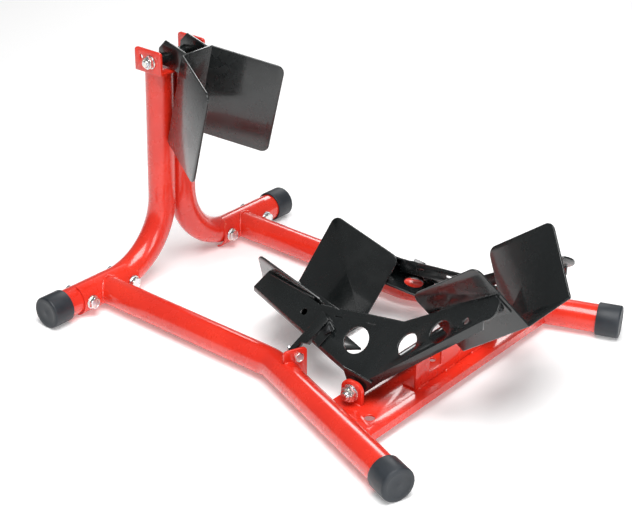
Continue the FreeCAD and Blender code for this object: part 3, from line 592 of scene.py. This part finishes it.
def add_square_head(mesh, seat, way, corner_radius, thick, points):
    """A square head with rounded corners and a crowned top, turned as the CAD head is."""
    top = [point for point in points if (point - seat).dot(way) > thick * 0.9]
    corner = max(top, key=lambda point: (point - seat).cross(way).length) - seat
    across = (corner - way * corner.dot(way)).normalized()
    turn = Matrix((across, way.cross(across), way)).transposed().to_4x4()
    place = Matrix.Translation(seat) @ turn
    rings = []
    for share, shrink in ((0.0, 1.0), (0.7, 1.0), (0.9, 0.95), (1.0, 0.84)):
        ring = []
        for step in range(HEX_STEPS):
            angle = 2 * math.pi * step / HEX_STEPS
            within = (angle + math.pi / 2) % (math.pi / 2) - math.pi / 4
            radius = min(corner_radius * math.cos(math.pi / 4) / math.cos(within), corner_radius * 0.93)
            ring.append(Vector((radius * shrink * math.cos(angle), radius * shrink * math.sin(angle),
                                share * thick)))
        rings.append(ring)
    add_rings(mesh, rings, place)


def add_thread(mesh, start, way, radius, length, pitch):
    """A threaded end: a helical groove, chamfered at its tip."""
    place = frame_along(start, way)
    count = max(2, int(length / pitch * LEVELS_PER_TURN))
    depth = pitch * THREAD_DEPTH_SHARE
    rings = []
    for level in range(count + 1):
        height = length * level / count
        fall = max(0.0, height - (length - pitch * 1.2)) / (pitch * 1.2)
        ring = []
        for step in range(THREAD_STEPS):
            turn = step / THREAD_STEPS
            groove = abs((height / pitch - turn) % 1 - 0.5) * 2
            size = radius - depth * groove - fall * pitch * 0.6
            angle = 2 * math.pi * turn
            ring.append(Vector((size * math.cos(angle), size * math.sin(angle), height)))
        rings.append(ring)
    add_rings(mesh, rings, place)


def add_nut(mesh, seat, way, corner_radius, thick, bore, collar=0.0):
    """A chamfered nut; a collar height makes it a lock nut."""
    place = frame_along(seat, way)
    rings = hex_rings(corner_radius, thick - collar, True)
    flat = corner_radius * math.cos(math.pi / 6)
    top = thick - collar
    circle = [level_way(point) for point in rings[0]]
    if collar:
        for radius, height in ((flat * 0.90, top), (flat * 0.88, thick - collar * 0.25),
                               (flat * 0.80, thick)):
            rings.append([way_out * radius + AXIS_Z * height for way_out in circle])
    rings.append([way_out * bore * 1.12 + AXIS_Z * thick for way_out in circle])
    rings.append([way_out * bore + AXIS_Z * (thick - 0.5 * MM) for way_out in circle])
    rings.append([way_out * bore for way_out in circle])
    made = add_rings(mesh, rings, place, False, False)
    join_rings(mesh, made[-1], made[0])


def add_washer(mesh, seat, way, outer, bore, thick):
    edge = thick * 0.25
    profile = ((bore, edge), (bore + edge, 0), (outer - edge, 0), (outer, edge), (outer, thick - edge),
               (outer - edge, thick), (bore + edge, thick), (bore, thick - edge))
    add_turned(mesh, profile, frame_along(seat, way), 40, loop=True)


def ends_of(points, way):
    """A solid's ends along its axis, its widest end first, with the radii there."""
    low, high = span_along(points, way)
    length = (high - low).length
    radii = []
    for end in (low, high):
        near = [point for point in points if abs((point - end).dot(way)) < length * 0.02 + 0.05 * MM]
        radii.append(max(((point - end) - way * (point - end).dot(way)).length for point in near))
    if radii[0] >= radii[1]:
        return low, high, radii[0], radii[1]
    return high, low, radii[1], radii[0]


def detailed_bolts(node, slot, body, head_share, direction=None, square=False):
    """Bolts with chamfered heads and threaded ends in place of a CAD node's plain ones."""
    mesh = bmesh.new()
    for points in islands(node):
        way = direction or main_direction(points)
        head, tip, head_radius, shank = ends_of(points, way)
        along = (tip - head).normalized()
        seat = head + along * (head_share * shank)
        if square:
            add_square_head(mesh, seat, -along, head_radius, head_share * shank, points)
        else:
            add_hex_head(mesh, seat, -along, head_radius, head_share * shank)
        length = (tip - seat).length
        threaded = min(length * 0.55, shank * THREAD_LENGTH_SHARE)
        add_turned(mesh, ((shank, 0), (shank, length - threaded - 0.3 * MM),
                          (shank - 0.4 * MM, length - threaded)), frame_along(seat, along), 32)
        add_thread(mesh, tip - along * threaded, along, shank, threaded, shank * PITCH_SHARE)
    return piece_from(mesh, node + "_detailed", slot, body, [node], 40)


def detailed_nuts(node, slot, body, outward, bore, collar=0.0):
    """Chamfered nuts in place of plain ones; outward gives each nut's free side."""
    mesh = bmesh.new()
    for points in islands(node):
        way = outward(centre_of(points))
        low, high = span_along(points, way)
        corner = max(((point - low) - way * (point - low).dot(way)).length for point in points)
        add_nut(mesh, low, way, corner, (high - low).length, bore, collar)
    return piece_from(mesh, node + "_detailed", slot, body, [node], 40)


def detailed_washers(node, slot, body, way):
    mesh = bmesh.new()
    for points in islands(node):
        low, high = span_along(points, way)
        radii = [((point - low) - way * (point - low).dot(way)).length for point in points]
        add_washer(mesh, low, way, max(radii), min(radii), (high - low).length)
    return piece_from(mesh, node + "_detailed", slot, body, [node], 40)


def nearest_way(node, centre):
    """The axis of the closest slender solid of a node."""
    points = min(islands(node), key=lambda solid: min((point - centre).length for point in solid))
    return main_direction(points)


def away_from_middle(node, downward=False):
    """For each nut, the axis of its bolt, turned away from the stand's middle or downward."""
    def outward(centre):
        way = nearest_way(node, centre)
        wrong = way.z > 0 if downward else way.x * centre.x < 0
        return -way if wrong else way
    return outward


def add_fasteners():
    detailed_bolts("saddle_bolts", "zinc", "frame", HEX_HEAD_SHARE, AXIS_Y)
    detailed_nuts("saddle_nuts", "zinc", "frame", lambda centre: AXIS_Y, 5 * MM, 1.5 * MM)
    detailed_washers("saddle_washers", "zinc", "frame", AXIS_Y)
    detailed_bolts("top_axle_bolt", "zinc", "frame", HEX_HEAD_SHARE, AXIS_X)
    detailed_nuts("top_axle_nut", "zinc", "frame", lambda centre: -AXIS_X, 5 * MM, 2 * MM)
    detailed_washers("top_axle_washers", "zinc", "frame", AXIS_X)
    detailed_bolts("pivot_bolt", "zinc", "frame", HEX_HEAD_SHARE, AXIS_X)
    detailed_nuts("pivot_nut", "zinc", "frame", lambda centre: -AXIS_X, 6 * MM, 3 * MM)
    detailed_washers("pivot_washers", "zinc", "frame", AXIS_X)
    detailed_bolts("stop_bolts", "zinc", "frame", HEX_HEAD_SHARE)
    detailed_bolts("arm_bolts", "black_zinc", "cradle", SQUARE_HEAD_SHARE, square=True)
    detailed_nuts("arm_nuts", "black_zinc", "cradle", away_from_middle("arm_bolts", True), 4 * MM)
    for guide in ("front_guide", "rear_guide"):
        detailed_nuts(guide + "_nuts", "black_zinc", "cradle", away_from_middle(guide + "_studs"), 3 * MM)


# ---------------------------------------------------------------- rubber caps

CAP_RADIUS = 24 * MM
CAP_EDGE = 3 * MM


def cap_profile(length):
    """From the middle of the inner face, round the wall, to the middle of the outer face."""
    bore, wall = TUBE_RADIUS + 0.1 * MM, 5 * MM
    profile = [(0.05 * MM, length - wall), (bore, length - wall), (bore, 1.2 * MM), (22.0 * MM, 0.2 * MM),
               (23.0 * MM, 0.0), (CAP_RADIUS - 0.3 * MM, 0.3 * MM), (CAP_RADIUS, 1.1 * MM),
               (CAP_RADIUS, length * 0.5), (CAP_RADIUS, length - CAP_EDGE)]
    for step in range(1, 7):
        angle = math.pi / 2 * step / 6
        profile.append((CAP_RADIUS - CAP_EDGE * (1 - math.cos(angle)),
                        length - CAP_EDGE * (1 - math.sin(angle))))
    dish = 0.5 * MM
    profile += [(17.4 * MM, length), (16.8 * MM, length - dish * 0.4), (16.2 * MM, length - dish),
                (3.2 * MM, length - dish), (2.4 * MM, length - dish * 0.4), (1.4 * MM, length - dish * 0.2),
                (0.05 * MM, length - dish * 0.1)]
    return profile


def add_caps():
    for name, side in SIDES.items():
        for end, outward in (("front", AXIS_X * side), ("rear", rail_line(side)[1])):
            node = f"{end}_{name}_cap"
            points = [point for solid in islands(node) for point in solid]
            low, high = span_along(points, outward)
            mesh = bmesh.new()
            add_turned(mesh, cap_profile((high - low).length), frame_along(low, outward), 72)
            piece_from(mesh, node + "_moulded", "cap_rubber", "frame", [node], 50)


# ---------------------------------------------------------------- floor, light and world

FLOOR_HALF = 6.0
FLOOR_GLOW = 0.20
WORLD_STRENGTH = 0.19
LIT_POINT = (0, 0, 0.12)
# each softbox as (place, width, height, power in watts)
SOFTBOXES = {
    "key": ((-0.6, -0.5, 2.3), 1.6, 1.6, 65),
    "side": ((-0.9, -2.2, 0.9), 1.4, 0.7, 18),
    "rim": ((1.9, 1.3, 1.5), 1.0, 0.8, 16),
}


def add_stage():
    mesh = bmesh.new()
    bmesh.ops.create_grid(mesh, x_segments=1, y_segments=1, size=FLOOR_HALF)
    data = bpy.data.meshes.new("floor")
    mesh.to_mesh(data)
    mesh.free()
    made, tree, shader, place = start_material("pale floor")
    cloud = noise(tree, place, 1.5, 3.0)
    tree.links.new(blended(tree, cloud, (0.90, 0.90, 0.90, 1), (0.94, 0.94, 0.94, 1)),
                   shader.inputs["Base Color"])
    shader.inputs["Roughness"].default_value = 0.85
    shader.inputs["Emission Color"].default_value = (1.0, 1.0, 1.0, 1)
    shader.inputs["Emission Strength"].default_value = FLOOR_GLOW
    data.materials.append(made)
    floor = bpy.data.objects.new("floor", data)
    bpy.context.scene.collection.objects.link(floor)


def add_softbox(name, place, target, width, height, power):
    data = bpy.data.lights.new(name, "AREA")
    data.shape = "RECTANGLE"
    data.size = width
    data.size_y = height
    data.energy = power
    lamp = bpy.data.objects.new(name, data)
    way = Vector(target) - Vector(place)
    lamp.matrix_world = Matrix.Translation(place) @ way.to_track_quat("-Z", "Y").to_matrix().to_4x4()
    bpy.context.scene.collection.objects.link(lamp)


def add_light():
    world = bpy.data.worlds.new("studio")
    world.use_nodes = True
    background = world.node_tree.nodes["Background"]
    background.inputs["Color"].default_value = (1.0, 1.0, 1.0, 1)
    background.inputs["Strength"].default_value = WORLD_STRENGTH
    bpy.context.scene.world = world
    for name, (place, width, height, power) in SOFTBOXES.items():
        add_softbox(name, place, LIT_POINT, width, height, power)
    bpy.context.scene.view_settings.view_transform = "Standard"


# ---------------------------------------------------------------- assembly

def paint_cad_nodes():
    for part in frame["record"]["subparts"]:
        surface = frame["nodes"][part["node"]].data
        surface.materials.clear()
        surface.materials.append(MATERIALS[part["material_slot"]])


add_camera()
paint_cad_nodes()
add_plates()
add_welds()
add_fasteners()
add_caps()
add_stage()
add_light()
